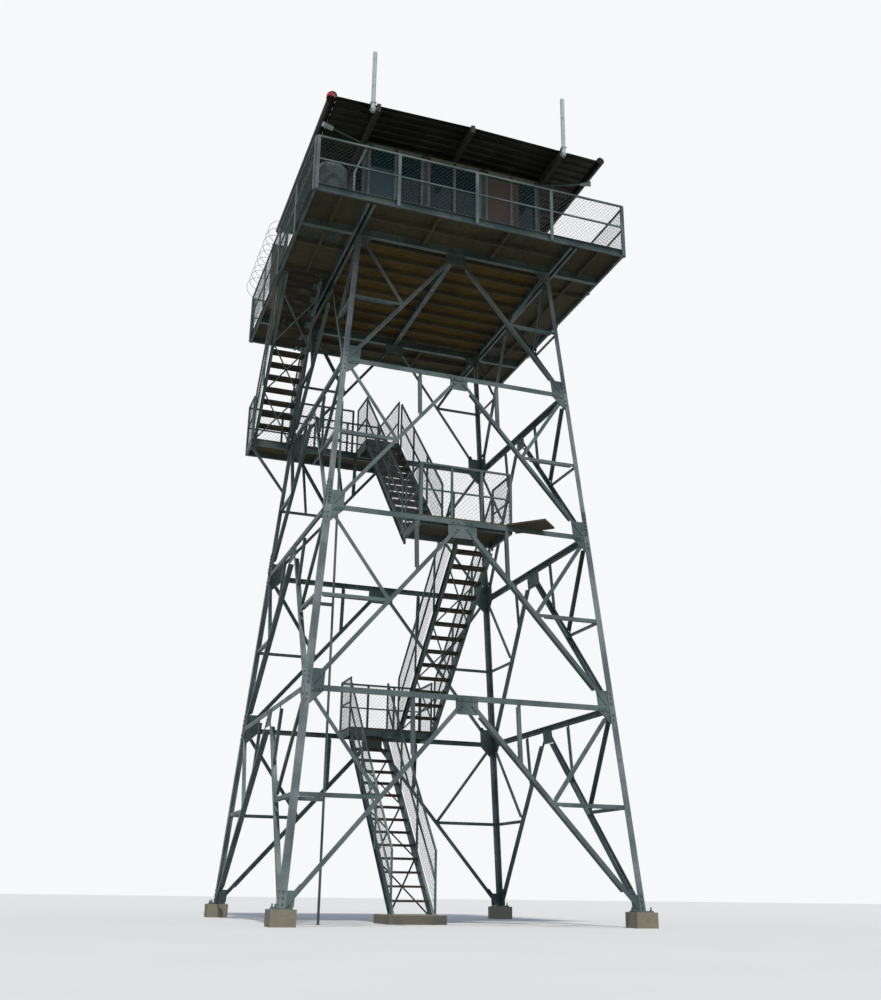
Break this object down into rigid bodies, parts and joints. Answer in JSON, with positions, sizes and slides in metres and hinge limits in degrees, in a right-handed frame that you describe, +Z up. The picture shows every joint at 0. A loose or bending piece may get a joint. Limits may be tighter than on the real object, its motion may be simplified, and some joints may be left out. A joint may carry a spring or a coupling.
{
  "type": "fire lookout tower",
  "caption": "Tall battered steel lattice tower with K bracing, switchback stairs, landings, and a square glazed cab with a railed catwalk under a ribbed roof.",
  "frame": {"origin": "on the ground, in the middle between the four piers", "axes": "+Z up, -Y out of the near side, +X to the right seen from the near side"},
  "size_m": [6.5996, 6.5996, 16.59],
  "materials": {
    "galvanized_steel": "weathered zinc, matt",
    "concrete": "rough cast concrete",
    "tread_wood": "dry red-brown timber",
    "deck_wood": "dry orange-brown timber",
    "painted_wood": "aged paint",
    "window_glass": "clear, dark from outside",
    "roof_steel": "dark, weathered",
    "dark_paint": "satin",
    "white_paint": "satin",
    "red_lens": "glossy",
    "pale_plastic": "matt"
  },
  "bodies": {
    "root": {"base_plates": "galvanized_steel", "braces_far": "galvanized_steel", "braces_left": "galvanized_steel", "braces_near": "galvanized_steel", "braces_right": "galvanized_steel", "cab_door": "painted_wood", "cab_floor": "deck_wood", "cable_pipe": "galvanized_steel", "catwalk_deck": "deck_wood", "catwalk_rails": "galvanized_steel", "cross_girders": "galvanized_steel", "deck_drum": "pale_plastic", "floor_joists": "deck_wood", "gallery_props": "galvanized_steel", "gusset_plates": "galvanized_steel", "hatch_lid": "deck_wood", "lamp_arms": "dark_paint", "lamp_heads": "white_paint", "landing_decks": "deck_wood", "landing_frames": "galvanized_steel", "landing_rails": "galvanized_steel", "leg_far_left": "galvanized_steel", "leg_far_right": "galvanized_steel", "leg_near_left": "galvanized_steel", "leg_near_right": "galvanized_steel", "panel_struts": "galvanized_steel", "piers": "concrete", "pipe_brackets": "galvanized_steel", "platform_beams": "galvanized_steel", "radio_masts": "white_paint", "rim_channels": "galvanized_steel", "ring_beams": "galvanized_steel", "ring_hangers": "galvanized_steel", "roof_edge_tubes": "dark_paint", "roof_lamp": "red_lens", "roof_rafters": "painted_wood", "roof_sheet": "roof_steel", "spare_plank": "deck_wood", "stair_pad": "concrete", "stair_rails": "galvanized_steel", "stringers_1": "galvanized_steel", "stringers_2": "galvanized_steel", "stringers_3": "galvanized_steel", "stringers_4": "galvanized_steel", "sub_diagonals": "galvanized_steel", "treads_1": "tread_wood", "treads_2": "tread_wood", "treads_3": "tread_wood", "treads_4": "tread_wood", "wall_far": "painted_wood", "wall_left": "painted_wood", "wall_near": "painted_wood", "wall_right": "painted_wood", "window_glass": "window_glass"}
  },
  "joints": []
}
